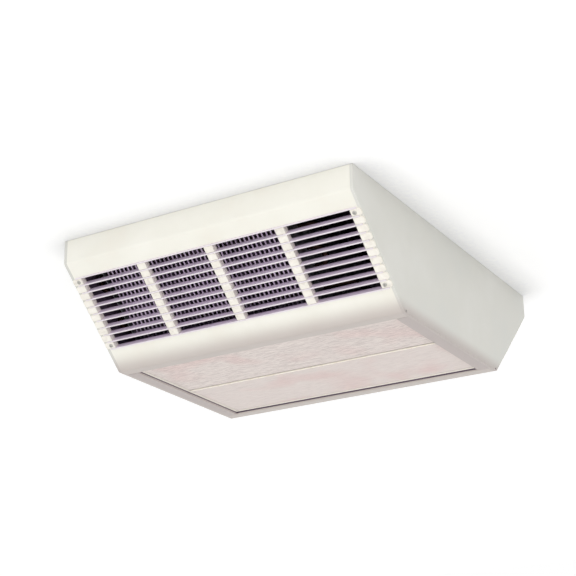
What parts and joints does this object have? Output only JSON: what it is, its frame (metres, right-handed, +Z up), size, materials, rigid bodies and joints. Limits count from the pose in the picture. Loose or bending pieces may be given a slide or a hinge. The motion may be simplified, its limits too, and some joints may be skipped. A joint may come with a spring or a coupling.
{
  "type": "ceiling convection heater",
  "caption": "Ceiling-mounted box heater with slanted front and rear faces, slotted grilles, a flat filtered inlet underneath, hot-water coils and plug fans inside.",
  "frame": {"origin": "centre of the four ceiling fixing holes, on the ceiling plane", "axes": "+X along the slots to the right end, -Y to the front, +Z up into the ceiling"},
  "size_m": [0.8, 0.97, 0.274],
  "materials": {
    "ivory_paint": "satin",
    "grey_paint": "satin",
    "zinc_sheet": "spangled zinc",
    "grille_blade": "satin anodised",
    "spacer_plastic": "semi-gloss",
    "screw_steel": "zinc plated",
    "fin_aluminium": "mill finish",
    "copper": "dull",
    "brass": "satin",
    "wheel_steel": "black powder coat",
    "motor_alloy": "die cast",
    "lever_coat": "gloss",
    "rubber": "matt",
    "dark_plastic": "matt",
    "box_paint": "satin",
    "white_plastic": "matt",
    "filter_fibre": "open fibre",
    "wire_zinc": "zinc plated"
  },
  "bodies": {
    "casing": {"ceiling_tray": "zinc_sheet", "front_fascia": "ivory_paint", "rear_fascia": "ivory_paint", "left_end_panel": "grey_paint", "right_end_panel": "grey_paint", "side_rails": "ivory_paint", "corner_brackets": "zinc_sheet", "front_grille_blades": "grille_blade", "front_grille_spacers": "spacer_plastic", "front_grille_screws": "screw_steel", "rear_grille_blades": "grille_blade", "rear_grille_spacers": "spacer_plastic", "rear_grille_screws": "screw_steel", "front_coil_fins": "fin_aluminium", "front_coil_tubes": "copper", "rear_coil_fins": "fin_aluminium", "rear_coil_tubes": "copper", "coil_supports": "zinc_sheet", "partition": "zinc_sheet", "fan_deck": "zinc_sheet", "inlet_rings": "zinc_sheet", "fan_stators": "motor_alloy", "fan_hangers": "zinc_sheet", "motor_screws": "screw_steel", "flow_pipe": "copper", "return_pipe": "copper", "flow_valve": "brass", "return_valve": "brass", "pipe_sockets": "brass", "pipe_grommets": "rubber", "air_vent": "brass", "pipe_thermostat": "dark_plastic", "control_box": "box_paint", "control_cover": "box_paint", "cover_screws": "screw_steel", "terminal_block": "white_plastic", "run_capacitors": "white_plastic", "cable_gland": "dark_plastic", "magnet_catches": "dark_plastic"},
    "left_fan": {"left_fan_wheel": "wheel_steel", "left_rotor": "motor_alloy"},
    "right_fan": {"right_fan_wheel": "wheel_steel", "right_rotor": "motor_alloy"},
    "flow_lever": {"flow_lever": "lever_coat"},
    "return_lever": {"return_lever": "lever_coat"},
    "inlet_door": {"door_frame": "ivory_paint", "front_filter": "filter_fibre", "rear_filter": "filter_fibre", "filter_grid": "wire_zinc", "door_pivots": "wire_zinc", "door_keepers": "wire_zinc"}
  },
  "joints": [
    {"name": "left_fan_spin", "type": "hinge", "parent": "casing", "child": "left_fan", "pos_m": [-0.247, 0, -0.11], "axis": [0, 0, 1], "continuous": true},
    {"name": "right_fan_spin", "type": "hinge", "parent": "casing", "child": "right_fan", "pos_m": [0.045, 0, -0.11], "axis": [0, 0, 1], "continuous": true},
    {"name": "flow_valve_turn", "type": "hinge", "parent": "casing", "child": "flow_lever", "pos_m": [0.275, -0.06, -0.037], "axis": [-1, 0, 0], "range_deg": [0, 90]},
    {"name": "return_valve_turn", "type": "hinge", "parent": "casing", "child": "return_lever", "pos_m": [0.24, 0.06, -0.037], "axis": [-1, 0, 0], "range_deg": [0, 90]},
    {"name": "inlet_door_swing", "type": "hinge", "parent": "casing", "child": "inlet_door", "pos_m": [0, 0.218, -0.263], "axis": [1, 0, 0], "range_deg": [0, 90]}
  ]
}
